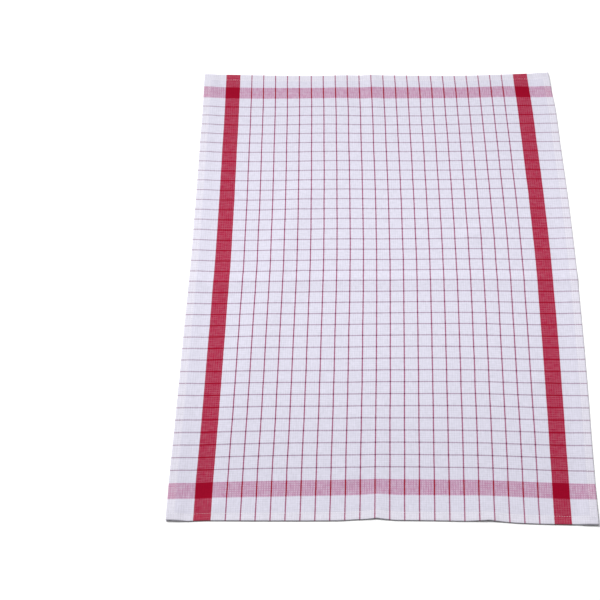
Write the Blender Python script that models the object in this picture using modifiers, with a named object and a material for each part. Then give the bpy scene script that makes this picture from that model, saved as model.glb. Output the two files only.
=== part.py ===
# Tea towel: one piece of cotton cloth, hemmed on all four sides and laid out flat.
#
# Units are metres and +Z is up. The near end of the towel is at -Y and the far end at +Y.
# The origin is the centre of the towel's box, on the face that it rests on.
#
# Two lengths measured in the cloth name a place on it: "across", from the left edge, and
# "along", from the near end. The cloth starts as a flat grid in those two, is laid out by
# the tables below, and then gets its thickness upwards from the side that it rests on.

import bmesh
import bpy
import numpy as np

MM = 0.001

# Finished size.
WIDTH = 501 * MM
LENGTH = 700 * MM

# Hems: the cloth is turned under twice, so three layers lie on each other, and nine
# in a corner, where an end hem is folded over a side hem and pressed.
SIDE_HEM = 9 * MM
END_HEM = 10.5 * MM
BODY_THICKNESS = 1.0 * MM
HEM_THICKNESS = 1.8 * MM
CORNER_THICKNESS = 3.2 * MM
HEM_STEP = 4 * MM            # the slope down from a hem to the single cloth beside it

# The grid that is bent: lines across and along, between the steps of the hems.
INNER_COLUMNS = 36
INNER_ROWS = 50

# How the cloth lies in its plane, in mm. Each row is a section across the towel at one
# place along it. "slide" is how far the cloth lies to the right of straight, and "pull"
# how far it is drawn towards the far end, at places given by their distance across.
SLIDE_PLACES = (0, 251, 360, 460, 501)
PULL_PLACES = (0, 61, 121, 181, 246, 301, 361, 441, 501)
SECTION_COLUMNS = ("along", "slide_0", "slide_251", "slide_360", "slide_460", "slide_501",
                   "pull_0", "pull_61", "pull_121", "pull_181", "pull_246", "pull_301",
                   "pull_361", "pull_441", "pull_501")
SECTIONS = (
    (0,   -1.4,  0.9,  1.6,  0.8, -0.2,   0.9,  1.4,  1.8,  2.5,  3.8,  4.1,  3.5,  1.1,  0.8),
    (32,  -1.6,  1.3,  2.2,  1.5,  0.4,  -5.0, -1.9,  0.1,  1.9,  3.8,  3.9,  3.9,  1.5, -0.4),
    (60,  -1.8,  1.7,  2.8,  2.2,  1.0,  -4.3, -1.8,  0.2,  1.7,  3.5,  3.7,  3.4,  1.0, -0.6),
    (95,  -1.2,  2.2,  3.4,  2.9,  1.7,  -4.4, -2.0,  0.1,  1.3,  2.4,  2.9,  2.7,  0.7, -0.5),
    (170, -0.4,  3.4,  4.4,  4.1,  3.7,  -2.6, -1.2,  0.3,  0.8,  2.1,  2.6,  2.8,  1.4,  0.6),
    (270,  0.4,  4.6,  5.7,  5.3,  5.5,  -1.7, -0.2,  0.9,  1.7,  2.8,  3.7,  3.8,  2.6,  2.4),
    (370,  1.3,  5.4,  5.9,  5.8,  6.1,   0.0, -0.4,  0.1,  1.8,  2.2,  2.8,  3.5,  3.0,  3.1),
    (470,  0.8,  4.3,  4.4,  4.2,  4.9,   0.8,  0.1,  0.8,  2.4,  2.1,  2.2,  2.5,  3.3,  2.4),
    (570, -0.2,  2.2,  2.1,  1.5,  2.3,   1.5,  0.2,  0.5,  1.4,  0.7,  0.5,  0.7,  1.8,  0.7),
    (640, -0.7,  0.5,  0.2, -0.8,  0.4,   1.5, -0.2, -0.2,  0.6, -1.4, -1.1, -0.5,  0.8,  0.3),
    (674, -1.4, -0.6, -0.7, -2.4, -2.3,   1.8,  0.0, -0.8, -0.9, -0.4, -0.6, -1.2,  0.4, -1.2),
    (700, -1.9, -1.4, -2.0, -3.7, -4.4,   1.7,  0.4, -1.6, -1.9, -1.4, -2.3, -3.2, -0.9,  1.6),
)

# Soft ridges that folding left in the cloth, in mm. Each runs between two places, given
# as across and along, and its height goes evenly from one end to the other.
RIDGES = (
    # name, from across, from along, to across, to along, breadth, from height, to height
    ("lengthwise fold, near end", 246,   0, 248, 150, 34, 0.6, 0.3),
    ("lengthwise fold, far end",  244, 700, 246, 560, 34, 1.4, 0.0),
    ("crosswise fold",              0, 338, 501, 340, 36, 0.9, 1.0),
    ("lift at the near edge",     373,   0, 331,  90, 44, 0.9, 0.0),
    ("ripple at the far edge",    197, 700, 205, 610, 60, 0.9, 0.0),
    ("drag on the left",           63, 120, 139, 480, 70, 0.4, 1.0),
)


def curve_through(places, values, at):
    """Value at one place of a smooth curve: a cubic between each two of its points, whose
    slope at a point is taken from the points beside it."""
    slopes = np.gradient(values, places)
    cell = int(np.clip(np.searchsorted(places, at) - 1, 0, len(places) - 2))
    span = places[cell + 1] - places[cell]
    share = (at - places[cell]) / span
    rest = 1 - share
    return (values[cell] * (1 + 2 * share) * rest ** 2
            + values[cell + 1] * (3 - 2 * share) * share ** 2
            + span * share * rest * (slopes[cell] * rest - slopes[cell + 1] * share))


def through_sections(kind, places, across, along):
    """Value at one place of the columns of one kind: a curve across each section, and then
    a curve along the towel through what the sections give."""
    picked = [number for number, name in enumerate(SECTION_COLUMNS) if name.startswith(kind)]
    table = np.array(SECTIONS, dtype=float)
    sections = [curve_through(np.array(places), row[picked], across) for row in table]
    return curve_through(table[:, 0], np.array(sections), along)


def lift_at(across, along):
    """Height of the cloth's under side above what it rests on, in mm: the highest of the
    ridges there, each a raised cosine across its breadth, and zero between them."""
    here = np.array((across, along))
    heights = [0.0]
    for _, *ends, breadth, from_height, to_height in RIDGES:
        start, end = np.array(ends[:2], dtype=float), np.array(ends[2:], dtype=float)
        run = end - start
        share = float(np.clip((here - start) @ run / (run @ run), 0, 1))
        aside = np.linalg.norm(here - start - share * run)
        crest = from_height + (to_height - from_height) * share
        if aside < breadth / 2:
            heights.append(crest * (1 + np.cos(2 * np.pi * aside / breadth)) / 2)
    return max(heights)


def hem_share(distance, hem):
    """1 on a hem and 0 on the single cloth, from the distance to the hem's outer edge."""
    return float(np.clip(1 - (distance - hem) / HEM_STEP, 0, 1))


def thickness_at(across, along):
    """Thickness of the layers that lie on each other at one place of the finished towel."""
    side = hem_share(min(across, WIDTH - across), SIDE_HEM)
    end = hem_share(min(along, LENGTH - along), END_HEM)
    one_hem = BODY_THICKNESS + (HEM_THICKNESS - BODY_THICKNESS) * max(side, end)
    return one_hem + (CORNER_THICKNESS - HEM_THICKNESS) * min(side, end)


def grid_lines(total, hem, count):
    """Places of the grid's lines one way: both edges, both sides of each hem's step, and
    evenly spaced lines between."""
    inner = np.linspace(hem + HEM_STEP, total - hem - HEM_STEP, count)
    return np.concatenate(((0, hem), inner, (total - hem, total)))


def principled(name, colour, roughness):
    """A material with a colour and a roughness, and no metal in it."""
    material = bpy.data.materials.new(name)
    material.use_nodes = True
    shader = material.node_tree.nodes["Principled BSDF"]
    shader.inputs["Base Color"].default_value = (*colour, 1)
    shader.inputs["Roughness"].default_value = roughness
    shader.inputs["Metallic"].default_value = 0
    return material


def lay_out_cloth(mesh):
    """Fill the mesh with the under side of the towel, and return each vertex's thickness."""
    columns = grid_lines(WIDTH, SIDE_HEM, INNER_COLUMNS)
    rows = grid_lines(LENGTH, END_HEM, INNER_ROWS)
    cloth = bmesh.new()
    bmesh.ops.create_grid(cloth, x_segments=len(columns) - 1, y_segments=len(rows) - 1, size=0.5)
    thicknesses = []
    for vertex in cloth.verts:
        across = columns[round((vertex.co.x + 0.5) * (len(columns) - 1))]
        along = rows[round((vertex.co.y + 0.5) * (len(rows) - 1))]
        place = across / MM, along / MM
        slide = through_sections("slide", SLIDE_PLACES, *place)
        pull = through_sections("pull", PULL_PLACES, *place)
        vertex.co = (across + slide * MM, along + pull * MM, lift_at(*place) * MM)
        thicknesses.append(thickness_at(across, along))
    spots = np.array([vertex.co for vertex in cloth.verts])
    centre = (spots.max(axis=0) + spots.min(axis=0)) / 2
    bmesh.ops.translate(cloth, vec=(-centre[0], -centre[1], 0), verts=cloth.verts)
    cloth.to_mesh(mesh)
    cloth.free()
    return thicknesses


def build_towel(collection):
    """The hemmed cloth: its under side as an open sheet, thickened upwards by Solidify,
    with each vertex's share of the greatest thickness held in a vertex group."""
    towel = bpy.data.objects.new("tea_towel", bpy.data.meshes.new("tea_towel"))
    collection.objects.link(towel)
    thicknesses = lay_out_cloth(towel.data)
    layers = towel.vertex_groups.new(name="layers")
    for vertex, thickness in enumerate(thicknesses):
        layers.add([vertex], thickness / CORNER_THICKNESS, "REPLACE")
    solid = towel.modifiers.new("thickness", "SOLIDIFY")
    solid.thickness = CORNER_THICKNESS
    solid.offset = 1
    solid.vertex_group = layers.name
    solid.thickness_vertex_group = 0
    towel.data.materials.append(principled("white cotton", (0.78, 0.76, 0.84), 0.9))
    towel.data.shade_smooth()
    return towel


def clear_scene():
    """Remove the objects that the scene starts with."""
    for thing in list(bpy.data.objects):
        bpy.data.objects.remove(thing, do_unlink=True)


clear_scene()
towel_collection = bpy.data.collections.new("Tea towel")
bpy.context.scene.collection.children.link(towel_collection)
build_towel(towel_collection)
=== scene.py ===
# %% [markdown]
# # A hemmed tea towel, laid out flat
#
# A tea towel is one piece of thin cotton cloth, woven with coloured yarns, cut to length
# and hemmed on all four sides. This script builds the cloth with its turned hems and the
# thread that sews them, gives both a finish made of shader nodes, and lights them.
#
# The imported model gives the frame: its box, its one body and the plain solid that the
# cloth made here stands for. Everything is in metres in that frame, with +Z up.

import bpy
import numpy as np
from mathutils import Matrix, Vector


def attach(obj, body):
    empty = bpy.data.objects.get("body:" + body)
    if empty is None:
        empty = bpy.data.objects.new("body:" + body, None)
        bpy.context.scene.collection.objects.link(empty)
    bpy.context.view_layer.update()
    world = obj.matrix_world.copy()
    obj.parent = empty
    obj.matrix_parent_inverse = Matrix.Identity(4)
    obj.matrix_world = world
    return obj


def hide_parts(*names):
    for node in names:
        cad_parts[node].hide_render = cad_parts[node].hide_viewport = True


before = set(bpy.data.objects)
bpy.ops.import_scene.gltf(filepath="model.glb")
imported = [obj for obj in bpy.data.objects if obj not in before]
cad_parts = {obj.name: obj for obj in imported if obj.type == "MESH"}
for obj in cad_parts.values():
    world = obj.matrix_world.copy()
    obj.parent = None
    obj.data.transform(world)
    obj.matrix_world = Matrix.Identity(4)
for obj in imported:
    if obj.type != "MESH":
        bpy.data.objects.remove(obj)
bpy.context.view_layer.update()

# %% [markdown]
# ## Sizes and places
#
# A maker thinks of a place on the cloth, not of one in the room. Two lengths give it
# here: "across", from the finished left edge, and "along", from the finished near edge,
# both in mm. All the tables below are in those, and one function turns them to metres
# at the very end. So the same numbers serve the cloth, its thread and its camera.

# %% The towel's sizes, in mm
MM = 0.001
WIDTH = 501.0          # finished, between the two side edges
LENGTH = 700.0         # finished, between the two end edges
CLOTH = 0.38           # thickness of the cloth
LAYER = 0.42           # from one folded layer to the next, so that they don't touch
SIDE_HEM = 9.0         # depth of a hem, from the edge to its inner fold
END_HEM = 10.5
SIDE_TURN = 8.2        # the cut edge that is turned inside a hem
END_TURN = 9.7
SIDE_SLOPE = 16.0      # beyond a hem, the cloth comes down to the table over this length
END_SLOPE = 28.0
HEM_PRESSED = 0.78     # thickness that the iron leaves a hem's layers, as a share
CORNER_PRESSED = 0.58  # and where two hems cross
FOLDED = 1.5 * np.pi * LAYER                 # cloth in half circles one and two layers across
SIDE_CUT = SIDE_HEM + SIDE_TURN + FOLDED     # from a finished edge to the cut one
END_CUT = END_HEM + END_TURN + FOLDED
CUT_WIDTH = WIDTH + 2 * SIDE_CUT
CUT_LENGTH = LENGTH + 2 * END_CUT
print(f"cut to {CUT_WIDTH:.1f} x {CUT_LENGTH:.1f} mm, hemmed to {WIDTH:.0f} x {LENGTH:.0f} mm")

# %% [markdown]
# ## How the towel lies
#
# Nobody lays a cloth out perfectly square. Its edges bow a little, and so do the lines of
# the check. The table gives this as a few sections across the towel: how far the cloth
# lies to the right of straight ("slide"), and how far it is drawn towards the far end
# ("pull"). It is the table that the CAD solid was bent by, so that both lie alike. A
# simulation could wrinkle the cloth, but it wouldn't put the bows where they are.
#
# Between the sections a smooth curve is needed. A cubic through each two points, whose
# slopes come from their neighbours, never swings wide of them as one long curve would.
#
# The near edge has small sharp nips as well, where a crease meets it and draws it in, or
# lets it out. They are too small for the table, and have a short one of their own.

# %% The table of how it lies, in mm
SLIDE_PLACES = (0, 251, 360, 460, 501)
PULL_PLACES = (0, 61, 121, 181, 246, 301, 361, 441, 501)
SECTION_COLUMNS = ("along", "slide_0", "slide_251", "slide_360", "slide_460", "slide_501",
                   "pull_0", "pull_61", "pull_121", "pull_181", "pull_246", "pull_301",
                   "pull_361", "pull_441", "pull_501")
SECTIONS = np.array((
    (0,   -1.4,  0.9,  1.6,  0.8, -0.2,   0.9,  1.4,  1.8,  2.5,  3.8,  4.1,  3.5,  1.1,  0.8),
    (32,  -1.6,  1.3,  2.2,  1.5,  0.4,  -5.0, -1.9,  0.1,  1.9,  3.8,  3.9,  3.9,  1.5, -0.4),
    (60,  -1.8,  1.7,  2.8,  2.2,  1.0,  -4.3, -1.8,  0.2,  1.7,  3.5,  3.7,  3.4,  1.0, -0.6),
    (95,  -1.2,  2.2,  3.4,  2.9,  1.7,  -4.4, -2.0,  0.1,  1.3,  2.4,  2.9,  2.7,  0.7, -0.5),
    (170, -0.4,  3.4,  4.4,  4.1,  3.7,  -2.6, -1.2,  0.3,  0.8,  2.1,  2.6,  2.8,  1.4,  0.6),
    (270,  0.4,  4.6,  5.7,  5.3,  5.5,  -1.7, -0.2,  0.9,  1.7,  2.8,  3.7,  3.8,  2.6,  2.4),
    (370,  1.3,  5.4,  5.9,  5.8,  6.1,   0.0, -0.4,  0.1,  1.8,  2.2,  2.8,  3.5,  3.0,  3.1),
    (470,  0.8,  4.3,  4.4,  4.2,  4.9,   0.8,  0.1,  0.8,  2.4,  2.1,  2.2,  2.5,  3.3,  2.4),
    (570, -0.2,  2.2,  2.1,  1.5,  2.3,   1.5,  0.2,  0.5,  1.4,  0.7,  0.5,  0.7,  1.8,  0.7),
    (640, -0.7,  0.5,  0.2, -0.8,  0.4,   1.5, -0.2, -0.2,  0.6, -1.4, -1.1, -0.5,  0.8,  0.3),
    (674, -1.4, -0.6, -0.7, -2.4, -2.3,   1.8,  0.0, -0.8, -0.9, -0.4, -0.6, -1.2,  0.4, -1.2),
    (700, -1.9, -1.4, -2.0, -3.7, -4.4,   1.7,  0.4, -1.6, -1.9, -1.4, -2.3, -3.2, -0.9,  1.6),
))


# %% Curves through the table
def curve_through(places, values, at):
    """Value at "at" of a smooth curve through values at places: in each cell a cubic,
    start (1 + 2 t)(1 - t)^2 + end (3 - 2 t) t^2 + span t (1 - t)(slope (1 - t) - slope t),
    where t goes from 0 to 1 and the slopes are those of the points' neighbours."""
    places = np.asarray(places, dtype=float)
    at = np.clip(at, places[0], places[-1])
    slopes = np.gradient(values, places, axis=0)
    cell = np.clip(np.searchsorted(places, at) - 1, 0, len(places) - 2)
    span = places[cell + 1] - places[cell]
    share = (at - places[cell]) / span
    rest = 1 - share

    def pick(table, row):
        return table[row] if table.ndim == 1 else np.take_along_axis(table, row[None], axis=0)[0]

    return (pick(values, cell) * (1 + 2 * share) * rest ** 2
            + pick(values, cell + 1) * (3 - 2 * share) * share ** 2
            + span * share * rest * (pick(slopes, cell) * rest - pick(slopes, cell + 1) * share))


def through_sections(kind, places, across, along):
    """Slide or pull at each point: a curve across every section, then a curve along the
    towel through what the sections give there."""
    picked = [number for number, name in enumerate(SECTION_COLUMNS) if name.startswith(kind)]
    sections = np.array([curve_through(places, row[picked], across) for row in SECTIONS])
    return curve_through(SECTIONS[:, 0], sections, along)


# %% Nips in the near edge, in mm
NIPS = (
    # across, half width, how far it draws the edge in (or lets it out), how far along it fades
    (25, 24, -1.1, 40),
    (220, 22, 1.0, 40),
    (244, 26, 2.6, 60),
    (375, 32, 1.9, 40),
)
NIP_POWER = 1.5          # above 1, so that a nip has a sharp tip


def nip(across, along):
    """How far the creases draw the near edge in: the sum of depth (1 - d)^NIP_POWER times a
    raised cosine along each crease, where d is the share of the half width."""
    drawn = 0.0
    for place, half_width, depth, fading in NIPS:
        share = np.clip(np.abs(across - place) / half_width, 0, 1)
        fade = (1 + np.cos(np.pi * np.clip(along / fading, 0, 1))) / 2
        drawn = drawn + depth * (1 - share) ** NIP_POWER * fade
    return drawn


def in_plane(across, along):
    """Where a point of the cloth lies in the plane, in mm: its place plus slide and pull."""
    slide = through_sections("slide", SLIDE_PLACES, across, along)
    pull = through_sections("pull", PULL_PLACES, across, along) + nip(across, along)
    return across + slide, along + pull


# %% Centre of the box, which is the frame's origin
SURVEY_POINTS = (51, 71)  # across and along
surveyed = [np.linspace(0, side, count) for side, count in zip((WIDTH, LENGTH), SURVEY_POINTS)]
outline = np.array(in_plane(*np.meshgrid(*surveyed)))
FRAME_CENTRE = (outline.max(axis=(1, 2)) + outline.min(axis=(1, 2))) / 2
print("centre of the box, across and along, mm", FRAME_CENTRE.round(2))

# %% [markdown]
# ## Ridges, loft and ripples
#
# A towel that comes out of a cupboard keeps the lines that it was folded along: one down
# its middle and one across it. They show as soft ridges, and the end hems lift where they
# cross them. Each ridge is a crest between two places with a height at each end. Beyond
# these, a sewn hem never lies quite flat, because its thread draws it up: its edge stands
# a little proud of the table, and its length has small uneven puckers.

# %% Table of ridges, in mm
RIDGES = (
    # name, from across, from along, to across, to along, breadth, from height, to height
    ("lengthwise fold, near end", 246,   0, 248, 150, 34, 0.6, 0.3),
    ("lengthwise fold, far end",  244, 700, 246, 560, 34, 1.4, 0.0),
    ("crosswise fold",              0, 338, 501, 340, 36, 0.9, 1.0),
    ("lift at the near edge",     373,   0, 331,  90, 44, 0.9, 0.0),
    ("ripple at the far edge",    197, 700, 205, 610, 60, 0.9, 0.0),
    ("drag on the left",           63, 120, 139, 480, 70, 0.4, 1.0),
)
LOFTS = (
    # hem, height of its outer edge above the table, height of its inner fold, and of its puckers
    ("left",  0.35, 0.35, 0.15),
    ("right", 0.45, 0.15, 0.15),
    ("near",  0.50, 0.10, 0.12),
    ("far",   0.55, 0.10, 0.12),
)
LOFT_REACH = 25.0                       # how far beyond the inner fold a hem lifts the cloth
PUCKER_LENGTHS = (13.0, 19.0, 31.0, 47.0)
RIPPLE_LENGTHS = (58.0, 83.0, 127.0, 190.0)
RIPPLE_SLANTS = (0.35, 0.25)            # how far the two ways of the ripples lean from square
RIPPLE_SEEDS = (11, 12)
RIPPLE_HEIGHT = 0.35
WANDER_SWING = 1.6                      # brings the mean of the sines to about -1 to 1


# %% Heights that lift all the layers
def bump_of(distance, reach):
    """A raised cosine: (1 + cos(pi distance / reach)) / 2 within reach, and zero beyond."""
    share = np.clip(np.abs(distance) / reach, 0, 1)
    return (1 + np.cos(np.pi * share)) / 2


def highest(heights):
    """The 4th root of the sum of the 4th powers: a maximum with no sharp valley in it."""
    return sum(height ** 4 for height in heights) ** 0.25


def ridge_height(across, along):
    """Height of the folds' ridges: the highest of them, where each is its crest's height
    times a raised cosine of the distance from the crest's line."""
    heights = []
    for _, x0, y0, x1, y1, breadth, from_height, to_height in RIDGES:
        run = np.array((x1 - x0, y1 - y0), dtype=float)
        share = np.clip(((across - x0) * run[0] + (along - y0) * run[1]) / (run @ run), 0, 1)
        aside = np.hypot(across - x0 - share * run[0], along - y0 - share * run[1])
        crest = from_height + (to_height - from_height) * share
        heights.append(crest * bump_of(aside, breadth / 2))
    return highest(heights)


def wander(at, lengths, seed):
    """Smooth unevenness between about -1 and 1: the mean of one sine for each wavelength,
    each with a phase drawn from the seed."""
    phases = np.random.default_rng(seed).uniform(0, 2 * np.pi, len(lengths))
    waves = [np.sin(2 * np.pi * at / length + phase) for length, phase in zip(lengths, phases)]
    return sum(waves) / len(waves) * WANDER_SWING


def hem_loft(across, along):
    """Height that the hems add. From a hem's outer edge to its inner fold it goes from one
    height to the other by half of 1 - cos(pi t), and beyond that it falls as a raised
    cosine. Puckers that wander along the hem rise beside the inner fold."""
    from_edge = {
        "left": (across, SIDE_HEM, along),
        "right": (WIDTH - across, SIDE_HEM, along),
        "near": (along, END_HEM, across),
        "far": (LENGTH - along, END_HEM, across),
    }
    heights = []
    for seed, (name, edge_height, fold_height, pucker) in enumerate(LOFTS):
        distance, hem, down_the_hem = from_edge[name]
        inward = bump_of(np.clip(hem - distance, 0, None), hem)
        rise = edge_height + (fold_height - edge_height) * inward
        unevenness = pucker * (0.5 + 0.5 * wander(down_the_hem, PUCKER_LENGTHS, seed))
        fading = bump_of(np.clip(distance - hem, 0, None), LOFT_REACH)
        heights.append((rise + np.clip(unevenness, 0, None) * bump_of(distance - hem, hem)) * fading)
    return highest(heights)


def ripple_height(across, along):
    """Low soft lumps all over: where the product of two wanders is above zero, its square."""
    lumps = (wander(across + RIPPLE_SLANTS[0] * along, RIPPLE_LENGTHS, RIPPLE_SEEDS[0])
             * wander(along - RIPPLE_SLANTS[1] * across, RIPPLE_LENGTHS, RIPPLE_SEEDS[1]))
    return RIPPLE_HEIGHT * np.clip(lumps, 0, None) ** 2


def laid(across, along, height):
    """Points of the cloth in metres in the frame: their place in the plane less the box's
    centre, and their height in the folded stack plus whatever lifts the whole stack there."""
    x, y = in_plane(across, along)
    lift = ridge_height(across, along) + hem_loft(across, along) + ripple_height(across, along)
    return np.stack((x - FRAME_CENTRE[0], y - FRAME_CENTRE[1], height + lift), axis=-1) * MM


# %% [markdown]
# ## The hems
#
# Each hem is turned twice, so that no cut edge shows: first the cut edge is folded under,
# and then the hem itself. Seen from its end it is an S with three layers. The side hems
# are sewn first and the end hems are folded over them, so a corner has nine layers.
#
# The fold is one rule, used twice. It takes a stack of cloth of some thickness T, and a
# layer at height h in it, and says where that layer goes: flipped to T - h below, back to
# T + h in the middle, and to 2 T + h on top. The inner fold is a half circle between
# those heights, and the outer one bulges a little more than that, because the cloth
# resists so tight a bend. Used on plain cloth (T is one layer and h half of it) the rule
# makes the side hems, and used again on what that gives, it makes the end hems with their
# thick corners.

# %% The rule of the double-turned hem
STATION_COLUMNS = ("place", "cut", "out_stack", "out_height", "up_stack", "up_height", "take_up")
END_FOR_END = np.array((-1, -1, -1, -1, 1, 1, -1))   # those columns' signs on the opposite hem
STATIONS = {"inner": 6, "outer": 8, "middle": 5, "under": 6, "top": 7, "slope": 8}
OUTER_BULGE = 1.3        # how far the outer fold stands out, as a share of a half circle
TAKE_UP = 1.5            # mm that an end fold draws the cloth in for each mm of extra stack
TAKE_UP_REACH = 30.0     # and how far from the edge it does so


def hem_share(distance, hem, slope):
    """1 on a hem and 0 on the single cloth: beyond the hem's inner fold, half of
    1 + cos(pi t), where t goes from 0 to 1 down the slope."""
    return (1 + np.cos(np.pi * np.clip((distance - hem) / slope, 0, 1))) / 2


def hem_stations(hem, turn, slope):
    """Places down the S of a hem, from the cut edge to the foot of its slope. A layer at
    height h of a stack T thick goes to place + out_stack T + out_height h, and to the height
    up_stack T + up_height h. "cut" is the same place measured in the flat cloth."""
    inner = np.linspace(np.pi, 0, STATIONS["inner"])[1:-1]
    outer = np.linspace(np.pi, 0, STATIONS["outer"])[1:-1]
    middle = np.linspace(hem - turn, hem, STATIONS["middle"])
    under = np.linspace(hem, 0, STATIONS["under"])
    top = np.linspace(0, hem, STATIONS["top"])
    sloping = np.linspace(hem, hem + slope, STATIONS["slope"])[1:]
    bulge = OUTER_BULGE * np.sin(outer)
    parts = (
        # place, cut, out_stack, out_height, up_stack, up_height
        (middle, middle - 2 * hem - FOLDED, 0, 0, 1, 1),
        (hem, -hem - LAYER * (np.pi + inner / 2), 0, np.sin(inner), 1, -np.cos(inner)),
        (under, -under - np.pi * LAYER, 0, 0, 1, -1),
        (0, -outer * LAYER, -bulge / 2, -bulge, 1.5 + np.cos(outer) / 2, np.cos(outer)),
        (top, top, 0, 0, 2, 1),
        (sloping, sloping, 0, 0, 2 * hem_share(sloping, hem, slope), 1),
    )
    rows = [np.stack(np.broadcast_arrays(*part), axis=-1) for part in parts]
    stations = np.concatenate(rows)
    take_up = np.clip(1 - stations[:, :1] / TAKE_UP_REACH, 0, 1)
    return np.concatenate((stations, take_up), axis=1)


def profile_of(total, hem, turn, slope, step):
    """Stations from one cut edge to the other: a hem, the single cloth, and the first hem
    turned end for end."""
    near = hem_stations(hem, turn, slope)
    count = round((total - 2 * (hem + slope)) / step)
    single = np.linspace(hem + slope, total - hem - slope, count + 1)[1:-1]
    body = np.zeros((len(single), near.shape[1]))
    body[:, 0] = single
    body[:, 1] = single
    body[:, STATION_COLUMNS.index("up_height")] = 1
    far = near[::-1] * END_FOR_END
    far[:, :2] += total
    return dict(zip(STATION_COLUMNS, np.concatenate((near, body, far)).T))


def fold(profile, stack, height):
    """Put a layer through a hem's profile, one row for each of its stations."""
    column = {name: values[:, None] for name, values in profile.items()}
    drawn_in = TAKE_UP * (stack - LAYER) * column["take_up"]
    place = (column["place"] + column["out_stack"] * stack + column["out_height"] * height
             + drawn_in)
    return place, column["up_stack"] * stack + column["up_height"] * height


# %% [markdown]
# ## The cloth
#
# The sheet is the middle of the cloth's thickness, a grid of quads whose columns follow
# the side profile and whose rows follow the end profile. Solidify then gives it its
# thickness. The UV map is the flat cloth itself, from its lowest cut corner to the
# highest, so anything that is drawn on it runs round the hems as woven stripes do.

# %% Fold the sheet
BODY_STEP = 4.0          # between the grid's lines on the single cloth
UNDER_GAP = 0.02         # the cloth's under side stays this far above the table

side_profile = profile_of(WIDTH, SIDE_HEM, SIDE_TURN, SIDE_SLOPE, BODY_STEP)
end_profile = profile_of(LENGTH, END_HEM, END_TURN, END_SLOPE, BODY_STEP)


def to_edge(place, total):
    """Distance to the nearer of two opposite edges."""
    return np.minimum(place, total - place)


def side_stack(across):
    """Thickness of the layers that lie on each other beside a side edge: one layer, and
    two more on the hem."""
    return LAYER * (1 + 2 * hem_share(to_edge(across, WIDTH), SIDE_HEM, SIDE_SLOPE))


def pressing(across, along):
    """How thick the iron left each layer: 1 on the single cloth, HEM_PRESSED on a hem, and
    CORNER_PRESSED where two hems cross."""
    side = hem_share(to_edge(across, WIDTH), SIDE_HEM, SIDE_SLOPE)
    end = hem_share(to_edge(along, LENGTH), END_HEM, END_SLOPE)
    one_hem = 1 - (1 - HEM_PRESSED) * np.maximum(side, end)
    return one_hem - (HEM_PRESSED - CORNER_PRESSED) * np.minimum(side, end)


side_place, side_height = fold(side_profile, LAYER, LAYER / 2)
across = side_place.T
pressed = pressing(across, end_profile["place"][:, None])
along, height = fold(end_profile, side_stack(across) * pressed, side_height.T * pressed)
across = np.broadcast_to(across, along.shape)
height = height - (LAYER - CLOTH) / 2 * pressed + UNDER_GAP
corners = laid(across, along, height)
print("grid of the cloth", along.shape, "top of the stack, mm", round(float(height.max()), 2))


# %% Make the mesh
UV_NAME = "OFBake"


def grid_faces(rows, columns):
    """Quads of a grid whose points are numbered row by row, facing up."""
    first = (np.arange(rows - 1)[:, None] * columns + np.arange(columns - 1)).ravel()
    return np.stack((first, first + 1, first + columns + 1, first + columns), axis=1)


def add_piece(name, points, faces, material):
    """A smooth mesh object at the origin, from points in metres and quads."""
    mesh = bpy.data.meshes.new(name)
    mesh.from_pydata(points.reshape(-1, 3).tolist(), [], [list(face) for face in faces])
    mesh.shade_smooth()
    mesh.materials.append(material)
    piece = bpy.data.objects.new(name, mesh)
    bpy.context.scene.collection.objects.link(piece)
    print(name, len(mesh.vertices), "points", len(mesh.polygons), "faces")
    return piece


def unwrap_flat(mesh, cut_across, cut_along):
    """UV map of the flat cloth: u and v are the cut places, from 0 to 1 over the cut size."""
    place = np.stack(((cut_across + SIDE_CUT) / CUT_WIDTH, (cut_along + END_CUT) / CUT_LENGTH), axis=-1)
    corner = np.empty(len(mesh.loops), dtype=np.int32)
    mesh.loops.foreach_get("vertex_index", corner)
    layer = mesh.uv_layers.new(name=UV_NAME)
    layer.data.foreach_set("uv", place.reshape(-1, 2)[corner].astype(np.float32).ravel())


# %% [markdown]
# ## Colours and nodes
#
# Colours are written as sRGB hex values, as a dyer's card would be read on a screen, and
# Blender's shaders work in linear light, so one function turns them. Another small one
# adds a node: its inputs are values or other nodes' outputs, and the rest its settings.


# %% Helpers for the materials
def linear(hex_colour):
    """Linear colour of an sRGB hex value: c / 12.92 where c is dark, and otherwise
    ((c + 0.055) / 1.055) ^ 2.4."""
    channels = np.array([int(hex_colour[start:start + 2], 16) for start in (1, 3, 5)]) / 255
    light = np.where(channels <= 0.04045, channels / 12.92, ((channels + 0.055) / 1.055) ** 2.4)
    return (*light.tolist(), 1.0)


def add_node(tree, kind, inputs, **settings):
    """Add one node with its settings, and give each input a value or link it to an output."""
    node = tree.nodes.new(kind)
    for name, value in settings.items():
        setattr(node, name, value)
    for socket, value in inputs.items():
        if isinstance(value, bpy.types.NodeSocket):
            tree.links.new(value, node.inputs[socket])
        else:
            node.inputs[socket].default_value = value
    return node


def new_material(name):
    """An empty node material and its tree."""
    material = bpy.data.materials.new(name)
    material.use_nodes = True
    material.node_tree.nodes.clear()
    return material, material.node_tree


# %% [markdown]
# ## Yarn-dyed plain weave
#
# The cloth is plain-woven cotton. The yarns were dyed before weaving, so a stripe is a
# run of crimson yarns among white ones, and it shows on both sides. The warp, which runs
# along the towel, is set closer than the weft, so it covers more: a warp stripe looks
# nearly solid, a weft band only about half so, and where they cross all is crimson.
#
# A photograph printed on the cloth would be quick, but it would blur and couldn't be
# changed. Here the pattern is worked out from the place in the flat cloth, in mm: the
# distance from the towel's middle line gives the stripes on both sides of it at once,
# and folding that distance back and forth over half a repeat gives the thin lines.

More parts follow.
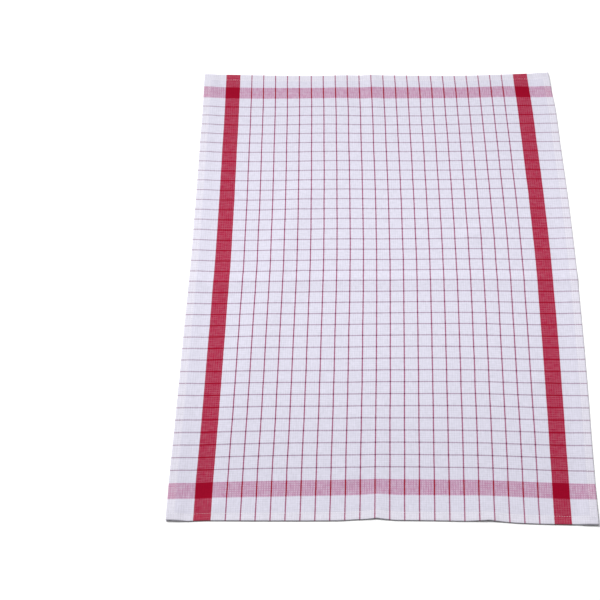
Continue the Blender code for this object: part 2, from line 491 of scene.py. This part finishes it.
# %% The two stripe plans, in mm
THREAD = 0.48            # real spacing of the yarns
DRAWN_THREADS = 3        # yarns that are drawn as one, as 0.48 mm is too fine to show
DRAWN = THREAD * DRAWN_THREADS
WARP_PLAN = {"middle": 250.75, "first_line": 8.665, "repeat": 17.33, "last_line": 181.97,
             "line_width": 1.5, "stripe_place": 209.25, "stripe_width": 20.5}
WEFT_PLAN = {"middle": 354.2, "first_line": 0.0, "repeat": 16.8, "last_line": 285.6,
             "line_width": 1.7, "stripe_place": 312.2, "stripe_width": 20.5}
EDGE_BLUR = 0.2          # the hairy edge of a yarn
RAGGED = 0.15            # how far its hairs push the edge of a line in or out
WEAVE_WANDER = 0.7       # how far yarns wander from straight, from one side to the other
WANDER_LENGTH = 55.0
SLUB_LENGTH = 10.0       # thick and thin places along a yarn
TONE_SWING = 0.4         # how far two yarns' tones, added, go to either side of their mean
WEAVE_SHOWS = 0.15       # how much more of a yarn shows where it passes over
# The rows of yarns show in the dyes' cover, and they also make painted shade between the yarns' rounded
# tops.
ROWS_AND_PAINTED_SHADE = 0.12         # how much the rows of yarns show, as against their slubs
SHADE = 0.09             # how much lighter or darker the thickest and thinnest places are
WEAVE_HEIGHT = 0.02      # mm, of a mound of the drawn weave
SLUB_HEIGHT = 0.05       # mm, between the thinnest and the thickest yarn

WHITE = linear("#CAC8D6")
WARP_CRIMSON = linear("#9B1037")        # the wide stripes
WEFT_CRIMSON = linear("#9E196B")
BOTH_CRIMSON = linear("#8D0423")        # where they cross
WARP_LINE = linear("#8D2B59")           # the thin lines' yarns, which look bluer
WEFT_LINE = linear("#713A60")
LINES_CROSSING = linear("#5E1A40")
HEM_WHITER = (1.06, 1.055, 1.025, 1)    # three layers let less light through than one
HEM_BLUR = 0.8                          # mm to either side of a hem's inner fold


# %% Stripes of one way of the weave
def add_stripes(tree, place, plan, roughened):
    """Masks of a plan's thin lines and its two wide stripes, from a place in mm. Each is 1
    where the distance from a line's middle is under half its width, with a soft edge."""
    from_middle = add_node(tree, "ShaderNodeMath", {0: place, 1: plan["middle"]}, operation="SUBTRACT")
    out = add_node(tree, "ShaderNodeMath", {0: from_middle.outputs[0]}, operation="ABSOLUTE")
    offset = add_node(tree, "ShaderNodeMath", {0: out.outputs[0], 1: plan["first_line"]},
                      operation="SUBTRACT")
    to_line = add_node(tree, "ShaderNodeMath", {0: offset.outputs[0], 1: plan["repeat"] / 2},
                       operation="PINGPONG")
    to_stripe = add_node(tree, "ShaderNodeMath", {0: out.outputs[0], 1: plan["stripe_place"]},
                         operation="SUBTRACT")
    beside = add_node(tree, "ShaderNodeMath", {0: to_stripe.outputs[0]}, operation="ABSOLUTE")
    masks = []
    for distance, width in ((to_line, plan["line_width"]), (beside, plan["stripe_width"])):
        rough = add_node(tree, "ShaderNodeMath", {0: distance.outputs[0], 1: roughened},
                         operation="ADD")
        masks.append(add_node(tree, "ShaderNodeMapRange",
                              {"Value": rough.outputs[0], "From Min": width / 2 + EDGE_BLUR,
                               "From Max": width / 2 - EDGE_BLUR}))
    inside = add_node(tree, "ShaderNodeMath",
                      {0: out.outputs[0], 1: plan["last_line"] + plan["repeat"] / 2},
                      operation="LESS_THAN")
    lines = add_node(tree, "ShaderNodeMath", {0: masks[0].outputs[0], 1: inside.outputs[0]},
                     operation="MULTIPLY")
    return lines.outputs[0], masks[1].outputs[0]


# %% How much of each dye shows
COVERS = {
    # piece of the pattern: its dye, how much of it shows where the white yarns that cross it
    # are thin and pass under, and how much where they are thick and pass over
    "weft lines": (WEFT_LINE, 0.62, 0.42),
    "weft bands": (WEFT_CRIMSON, 0.68, 0.34),
    "warp lines": (WARP_LINE, 0.95, 0.80),
    "warp stripes": (WARP_CRIMSON, 1.00, 0.89),
}


def on_hems(tree, place, total, hem):
    """1 on the hems of two opposite edges, from the place between them in mm."""
    from_middle = add_node(tree, "ShaderNodeMath", {0: place, 1: total / 2}, operation="SUBTRACT")
    out = add_node(tree, "ShaderNodeMath", {0: from_middle.outputs[0]}, operation="ABSOLUTE")
    inner = total / 2 - hem
    return add_node(tree, "ShaderNodeMapRange",
                    {"Value": out.outputs[0], "From Min": inner - HEM_BLUR,
                     "From Max": inner + HEM_BLUR}).outputs[0]


# %% The cotton
def yarn_dyed_cotton():
    """Plain-woven cotton, yarn-dyed, washed and ironed: matt, a little hairy, with slubs.
    It gives the eye a soft even white with no highlight, stripes with flecks of the other
    yarns in them, and lines whose edges are never quite straight."""
    material, tree = new_material("Plain-woven cotton, yarn-dyed")
    flat = add_node(tree, "ShaderNodeUVMap", {}, uv_map=UV_NAME)
    place = add_node(tree, "ShaderNodeVectorMath",
                     {0: flat.outputs[0], 1: (CUT_WIDTH, CUT_LENGTH, 0), 2: (-SIDE_CUT, -END_CUT, 0)},
                     operation="MULTIPLY_ADD")

    # Yarns wander: the place is pushed about by a soft noise before anything is drawn.
    drift = add_node(tree, "ShaderNodeTexNoise",
                     {"Vector": place.outputs[0], "Scale": 1 / WANDER_LENGTH, "Detail": 2.0},
                     noise_dimensions="2D")
    centred = add_node(tree, "ShaderNodeVectorMath", {0: drift.outputs["Color"], 1: (0.5, 0.5, 0.5)},
                       operation="SUBTRACT")
    woven = add_node(tree, "ShaderNodeVectorMath",
                     {0: centred.outputs[0], 1: (WEAVE_WANDER,) * 3, 2: place.outputs[0]},
                     operation="MULTIPLY_ADD")
    part = add_node(tree, "ShaderNodeSeparateXYZ", {0: woven.outputs[0]})
    across_mm, along_mm = part.outputs["X"], part.outputs["Y"]

    # Slubs: streaks as long as a slub along the yarn, and as narrow as a drawn yarn across it.
    tones = []
    for stretch in ((1 / DRAWN, 1 / SLUB_LENGTH, 1), (1 / SLUB_LENGTH, 1 / DRAWN, 1)):
        squeezed = add_node(tree, "ShaderNodeVectorMath", {0: woven.outputs[0], 1: stretch},
                            operation="MULTIPLY")
        tones.append(add_node(tree, "ShaderNodeTexNoise",
                              {"Vector": squeezed.outputs[0], "Scale": 1.0, "Detail": 3.0,
                               "Roughness": 0.6}, noise_dimensions="2D").outputs[0])
    warp_tone, weft_tone = tones

    # Plain weave: the yarns pass over and under by turns. The product of two waves, one each
    # way, makes mounds like a chessboard's squares, whose sign says which yarn is on top.
    # That yarn shows more, and so does the thicker one. The waves' sum gives the fine rows
    # that the yarns make: real rows in the dyes' cover, and painted shade between the yarns' rounded
    # tops in the shade below.
    waves = []
    for way in (across_mm, along_mm):
        turns = add_node(tree, "ShaderNodeMath", {0: way, 1: np.pi / DRAWN}, operation="MULTIPLY")
        wave = add_node(tree, "ShaderNodeMath", {0: turns.outputs[0]}, operation="SINE")
        waves.append(wave.outputs[0])
    mounds = add_node(tree, "ShaderNodeMath", {0: waves[0], 1: waves[1]}, operation="MULTIPLY")
    rows_and_painted_shade = add_node(tree, "ShaderNodeMath", {0: waves[0], 1: waves[1]}, operation="ADD")
    thicker = add_node(tree, "ShaderNodeMath", {0: warp_tone, 1: weft_tone}, operation="SUBTRACT")
    warp_over = add_node(tree, "ShaderNodeMath",
                         {0: mounds.outputs[0], 1: WEAVE_SHOWS, 2: thicker.outputs[0]},
                         operation="MULTIPLY_ADD")
    weft_over = add_node(tree, "ShaderNodeMath", {0: warp_over.outputs[0], 1: -1.0},
                         operation="MULTIPLY")

    hairy = add_node(tree, "ShaderNodeTexNoise",
                     {"Vector": woven.outputs[0], "Scale": 0.9, "Detail": 1.0}, noise_dimensions="2D")
    ragged = add_node(tree, "ShaderNodeMapRange",
                      {"Value": hairy.outputs[0], "From Min": 0.2, "From Max": 0.8,
                       "To Min": -RAGGED, "To Max": RAGGED})
    warp_lines, warp_stripes = add_stripes(tree, across_mm, WARP_PLAN, ragged.outputs[0])
    weft_lines, weft_bands = add_stripes(tree, along_mm, WEFT_PLAN, ragged.outputs[0])

    # The dyes go on one after another, and where two dyed ways cross no white shows at all.
    colour = WHITE
    dyed_parts = (("weft lines", weft_lines, warp_over), ("weft bands", weft_bands, warp_over),
                  ("warp lines", warp_lines, weft_over), ("warp stripes", warp_stripes, weft_over))
    for name, mask, crossing in dyed_parts:
        dye, thin, thick = COVERS[name]
        ribbed = add_node(tree, "ShaderNodeMath",
                          {0: rows_and_painted_shade.outputs[0], 1: ROWS_AND_PAINTED_SHADE, 2: crossing.outputs[0]},
                          operation="MULTIPLY_ADD")
        cover = add_node(tree, "ShaderNodeMapRange",
                         {"Value": ribbed.outputs[0], "From Min": -TONE_SWING, "From Max": TONE_SWING,
                          "To Min": thin, "To Max": thick})
        shows = add_node(tree, "ShaderNodeMath", {0: mask, 1: cover.outputs[0]}, operation="MULTIPLY")
        colour = add_node(tree, "ShaderNodeMix", {0: shows.outputs[0], 6: colour, 7: dye},
                          data_type="RGBA").outputs[2]
    warp_any = add_node(tree, "ShaderNodeMath", {0: warp_lines, 1: warp_stripes}, operation="MAXIMUM")
    weft_any = add_node(tree, "ShaderNodeMath", {0: weft_lines, 1: weft_bands}, operation="MAXIMUM")
    both = add_node(tree, "ShaderNodeMath", {0: warp_any.outputs[0], 1: weft_any.outputs[0]},
                    operation="MULTIPLY")
    wide = add_node(tree, "ShaderNodeMath", {0: warp_stripes, 1: weft_bands}, operation="MAXIMUM")
    crossed = add_node(tree, "ShaderNodeMix",
                       {0: wide.outputs[0], 6: LINES_CROSSING, 7: BOTH_CRIMSON}, data_type="RGBA")
    dyed = add_node(tree, "ShaderNodeMix", {0: both.outputs[0], 6: colour, 7: crossed.outputs[2]},
                    data_type="RGBA")

    # Thick and thin yarns let more or less light through, and so do three layers and one.
    # The two tones are about a half each, so that their sum is about 1. The rows of yarns are added
    # to them as painted shade, darker between the yarns' rounded tops.
    uneven = add_node(tree, "ShaderNodeMath", {0: warp_tone, 1: weft_tone}, operation="ADD")
    tones_and_painted_shade = add_node(tree, "ShaderNodeMath", {0: rows_and_painted_shade.outputs[0], 1: ROWS_AND_PAINTED_SHADE, 2: uneven.outputs[0]},
                       operation="MULTIPLY_ADD")
    shade = add_node(tree, "ShaderNodeMapRange",
                     {"Value": tones_and_painted_shade.outputs[0], "From Min": 1 - TONE_SWING,
                      "From Max": 1 + TONE_SWING, "To Min": 1 - SHADE, "To Max": 1 + SHADE})
    hemmed = add_node(tree, "ShaderNodeMath",
                      {0: on_hems(tree, across_mm, WIDTH, SIDE_HEM),
                       1: on_hems(tree, along_mm, LENGTH, END_HEM)}, operation="MAXIMUM")
    whiter = add_node(tree, "ShaderNodeMix",
                      {0: hemmed.outputs[0], 6: (1, 1, 1, 1), 7: HEM_WHITER}, data_type="RGBA")
    layered = add_node(tree, "ShaderNodeVectorMath", {0: dyed.outputs[2], 1: whiter.outputs[2]},
                       operation="MULTIPLY")
    toned = add_node(tree, "ShaderNodeVectorMath", {0: layered.outputs[0], "Scale": shade.outputs[0]},
                     operation="SCALE")

    slubs = add_node(tree, "ShaderNodeMath", {0: uneven.outputs[0], 1: SLUB_HEIGHT},
                     operation="MULTIPLY")
    relief = add_node(tree, "ShaderNodeMath",
                      {0: mounds.outputs[0], 1: WEAVE_HEIGHT, 2: slubs.outputs[0]},
                      operation="MULTIPLY_ADD")
    bump = add_node(tree, "ShaderNodeBump",
                    {"Height": relief.outputs[0], "Distance": MM, "Strength": 1.0})

    shader = add_node(tree, "ShaderNodeBsdfPrincipled",
                      {"Base Color": toned.outputs[0], "Normal": bump.outputs[0], "Roughness": 0.9,
                       "Specular IOR Level": 0.05})
    add_node(tree, "ShaderNodeOutputMaterial", {"Surface": shader.outputs[0]})
    return material


# %% Make the cloth, with the iron's pressing as a weight on its thickness
cloth = add_piece("tea_towel_cloth", corners, grid_faces(*along.shape), yarn_dyed_cotton())
unwrap_flat(cloth.data, *np.meshgrid(side_profile["cut"], end_profile["cut"]))
thinned = cloth.vertex_groups.new(name="thickness after pressing")
levels = pressed.ravel().round(2)
for level in np.unique(levels):
    thinned.add(np.flatnonzero(levels == level).tolist(), float(level), "REPLACE")
solid = cloth.modifiers.new("thickness of the cloth", "SOLIDIFY")
solid.thickness = CLOTH * MM
solid.offset = 0
solid.vertex_group = thinned.name
print("thinnest layer, mm", round(float(levels.min()) * CLOTH, 2))

# %% [markdown]
# ## The hem stitching
#
# A lockstitch machine sews each hem a little in from its inner fold, with a stitch about
# every 3 mm. On top one sees a row of short raised dashes of thread, each end of which
# dives into the cloth, and underneath the same. White thread hardly shows on white
# cloth, but it does where it crosses crimson. Each dash is a small tube, oval in section
# and closed to a blunt point at both ends, and all of them are one mesh, worked out at
# once.

# %% Sew the hems
PITCH = 3.0              # from one stitch to the next
DASH = 1.0               # what shows of it
THREAD_RADIUS = 0.30     # about twice a real thread's, which is too fine to show
THREAD_FLATTENED = 0.75  # height of its section as a share of its breadth
THREAD_SUNK = 0.22       # how deep the ends of a dash lie in the cloth
ARCH_ABOVE = 0.26        # how far its middle rises from there
ARCH_BELOW = 0.01        # the table presses the lower thread flatter
SEAM_INSET = 1.2         # from a hem's inner fold to its seam
SEAM_START = 1.0         # from a side edge to an end hem's seam
WELD_REACH = 0.002       # points that lie nearer to each other than this become one
RINGS = 5                # of a dash, between its ends
SIDES = 6


def seam_stitches(start, end):
    """Middle and direction of every stitch on a straight seam between two places."""
    start, end = np.array(start, dtype=float), np.array(end, dtype=float)
    length = np.linalg.norm(end - start)
    count = int(length // PITCH)
    shares = (np.arange(count) + 0.5) / count
    middles = start + shares[:, None] * (end - start)
    return middles, np.broadcast_to((end - start) / length, middles.shape)


def top_height(across, along):
    """Height of the cloth's upper face in the folded stack: (2 s + 1) T, less the space
    between two layers, all of it pressed."""
    share = hem_share(to_edge(along, LENGTH), END_HEM, END_SLOPE)
    stacked = (2 * share + 1) * side_stack(across) - (LAYER - CLOTH)
    return stacked * pressing(across, along) + UNDER_GAP


def dashes(middles, ways, face_height, side, arch_height):
    """Points of the stitches, shaped (stitch, ring and pole, side, 3). Along a stitch, t
    from -1 to 1: the thread's radius goes as the 4th root of 1 - t^2, its section is an
    oval, and its middle rises by an arch of 1 - t^2 from just inside the cloth's face."""
    t = np.cos(np.linspace(np.pi, 0, RINGS + 2))[:, None]
    turn = np.linspace(0, 2 * np.pi, SIDES, endpoint=False)
    radius = THREAD_RADIUS * np.clip(1 - t ** 2, 0, None) ** 0.25
    along_way = np.broadcast_to(t * DASH / 2, (RINGS + 2, SIDES))
    aside = radius * np.cos(turn)
    arch = side * (arch_height * (1 - t ** 2) - THREAD_SUNK)
    up = arch + THREAD_FLATTENED * radius * np.sin(turn)
    normal = np.stack((-ways[:, 1], ways[:, 0]), axis=-1)
    plan = (middles[:, None, None] + along_way[..., None] * ways[:, None, None]
            + aside[..., None] * normal[:, None, None])
    across, along = plan[..., 0], plan[..., 1]
    return laid(across, along, face_height(across, along) + up)


def dash_faces(count):
    """Quads round each stitch, ring by ring. The first and last rings have no radius, so
    their points are one place, and merging by distance closes the ends."""
    ring = np.arange(RINGS + 1)[:, None] * SIDES
    here = np.arange(SIDES)
    following = (here + 1) % SIDES
    one = np.stack((ring + here, ring + following, ring + following + SIDES, ring + here + SIDES),
                   axis=-1).reshape(-1, 4)
    return (one + np.arange(count)[:, None, None] * (RINGS + 2) * SIDES).reshape(-1, 4)


def under_height(across, along):
    """Height of the cloth's under face."""
    return np.full(across.shape, UNDER_GAP)


def spun_thread():
    """Spun cotton sewing thread: matt white and slightly uneven, a touch brighter than the
    cloth because its fibres lie close together."""
    material, tree = new_material("Spun cotton sewing thread")
    place = add_node(tree, "ShaderNodeTexCoord", {})
    fluff = add_node(tree, "ShaderNodeTexNoise",
                     {"Vector": place.outputs["Object"], "Scale": 1 / (THREAD_RADIUS * 2 * MM),
                      "Detail": 2.0})
    tone = add_node(tree, "ShaderNodeMix",
                    {0: fluff.outputs[0], 6: linear("#DCDCE6"), 7: linear("#F2F2F6")}, data_type="RGBA")
    shader = add_node(tree, "ShaderNodeBsdfPrincipled",
                      {"Base Color": tone.outputs[2], "Roughness": 0.75, "Specular IOR Level": 0.3,
                       "Sheen Weight": 0.1})
    add_node(tree, "ShaderNodeOutputMaterial", {"Surface": shader.outputs[0]})
    return material


side_seam = SIDE_HEM - SEAM_INSET
end_seam = END_HEM - SEAM_INSET
SEAMS = (
    # from across and along, to across and along
    ((side_seam, END_HEM), (side_seam, LENGTH - END_HEM)),
    ((WIDTH - side_seam, END_HEM), (WIDTH - side_seam, LENGTH - END_HEM)),
    ((SEAM_START, end_seam), (WIDTH - SEAM_START, end_seam)),
    ((SEAM_START, LENGTH - end_seam), (WIDTH - SEAM_START, LENGTH - end_seam)),
)
rows = [seam_stitches(*seam) for seam in SEAMS]
middles = np.concatenate([row[0] for row in rows])
ways = np.concatenate([row[1] for row in rows])
above = dashes(middles, ways, top_height, 1, ARCH_ABOVE)
below = dashes(middles + ways * PITCH / 2, ways, under_height, -1, ARCH_BELOW)
thread_points = np.concatenate((above, below))
thread = add_piece("hem_stitching", thread_points, dash_faces(len(thread_points)), spun_thread())
weld = thread.modifiers.new("close the ends", "WELD")
weld.merge_threshold = WELD_REACH * MM

# %% [markdown]
# ## Floor, light and camera
#
# The towel lies on a white table and is seen from above. Two lights make the shading. A
# soft key light comes from behind it, on the left, and draws the dark line under the near
# edge. A wide softbox hangs low above the cloth, so that its light falls off towards both
# ends. The floor is made just bright enough to be white, so the cloth, which is a shade
# darker, stands out from it.

# %% Floor
FLOOR_SIZE = 30.0        # m


def plain_floor():
    """A plain pale floor: matt, nearly white."""
    material, tree = new_material("Matt white table")
    shader = add_node(tree, "ShaderNodeBsdfPrincipled",
                      {"Base Color": linear("#FFFFFF"), "Roughness": 0.95, "Specular IOR Level": 0.1})
    add_node(tree, "ShaderNodeOutputMaterial", {"Surface": shader.outputs[0]})
    return material


edge = np.linspace(-FLOOR_SIZE / 2, FLOOR_SIZE / 2, 2)
floor_points = np.stack((*np.meshgrid(edge, edge), np.zeros((2, 2))), axis=-1)
floor = add_piece("floor", floor_points, grid_faces(2, 2), plain_floor())

# %% Lights
WHITE_LEVELS = {"room": 0.10, "key": 0.70, "softbox": 0.93}   # 1 makes the floor pure white
KEY_FROM = (-0.70, 1.0, 1.0)         # direction of the key light
KEY_ANGLE = 20.0                     # degrees that it fills, so its shadows are soft
SOFTBOX_PLACE = (-0.20, 0.07, 0.70)  # m, low above the cloth, so its light falls off over it
SOFTBOX_SIZE = (1.4, 0.5)            # m, across and along the towel


def add_light(name, kind, place, aim, **settings):
    """Add a light at a place, aimed at another, both in metres, that the camera doesn't see."""
    lamp = bpy.data.lights.new(name, kind)
    for setting, value in settings.items():
        setattr(lamp, setting, value)
    light = bpy.data.objects.new(name, lamp)
    light.location = place
    light.rotation_mode = "QUATERNION"
    light.rotation_quaternion = (Vector(place) - Vector(aim)).to_track_quat("Z", "Y")
    light.visible_camera = False
    bpy.context.scene.collection.objects.link(light)


# A white floor sends back radiance E / pi where the light on it is E. The key's E is its
# strength times the cosine of its slant. A small softbox's is power / (pi distance^2), and
# this one gives less than that formula says, because much of it is farther off.
key_slant = KEY_FROM[2] / np.linalg.norm(KEY_FROM)
add_light("key", "SUN", KEY_FROM, (0, 0, 0), angle=np.radians(KEY_ANGLE),
          energy=WHITE_LEVELS["key"] * np.pi / key_slant)
add_light("softbox", "AREA", SOFTBOX_PLACE, (*SOFTBOX_PLACE[:2], 0), shape="RECTANGLE",
          size=SOFTBOX_SIZE[0], size_y=SOFTBOX_SIZE[1],
          energy=WHITE_LEVELS["softbox"] * np.pi ** 2 * SOFTBOX_PLACE[2] ** 2)

# The room lights the cloth softly, but where the camera sees past the floor it is white.
world = bpy.data.worlds.new("Soft white room")
world.use_nodes = True
seen = add_node(world.node_tree, "ShaderNodeLightPath", {})
level = add_node(world.node_tree, "ShaderNodeMapRange",
                 {"Value": seen.outputs["Is Camera Ray"], "To Min": WHITE_LEVELS["room"],
                  "To Max": 1.0})
background = world.node_tree.nodes["Background"]
background.inputs["Color"].default_value = (1, 1, 1, 1)
world.node_tree.links.new(level.outputs[0], background.inputs["Strength"])
bpy.context.scene.world = world
bpy.context.scene.view_settings.view_transform = "Standard"

# %% Camera
CAMERA_PLACE = (222.2, -606.3, 1413.5)     # across, along and above the table, mm
CAMERA_YAW = 4.66                          # degrees, turned left of straight ahead
CAMERA_PITCH = 56.975                      # degrees, down from level
CAMERA_ROLL = -3.76                        # degrees, about its own axis
FOCAL_PIXELS = 1298.5                      # focal length in pixels of the picture
PICTURE_PIXELS = 600
SENSOR = 36.0                              # mm, its width
CLIP_END = 100                             # m, past the floor's far edge

camera_data = bpy.data.cameras.new("camera")
camera_data.sensor_width = SENSOR
camera_data.lens = SENSOR * FOCAL_PIXELS / PICTURE_PIXELS
camera_data.clip_end = CLIP_END
camera = bpy.data.objects.new("camera", camera_data)
place = (np.array(CAMERA_PLACE) - (*FRAME_CENTRE, 0)) * MM
camera.matrix_world = (Matrix.Translation(place)
                       @ Matrix.Rotation(np.radians(CAMERA_YAW), 4, "Z")
                       @ Matrix.Rotation(np.radians(90 - CAMERA_PITCH), 4, "X")
                       @ Matrix.Rotation(np.radians(CAMERA_ROLL), 4, "Z"))
bpy.context.scene.collection.objects.link(camera)
bpy.context.scene.camera = camera
print("camera at", [round(value, 3) for value in place], "m, lens", round(camera_data.lens, 1), "mm")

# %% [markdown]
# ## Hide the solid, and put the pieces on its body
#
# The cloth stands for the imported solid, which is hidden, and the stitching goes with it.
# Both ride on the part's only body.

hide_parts("tea_towel")
for piece in (cloth, thread):
    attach(piece, "root")
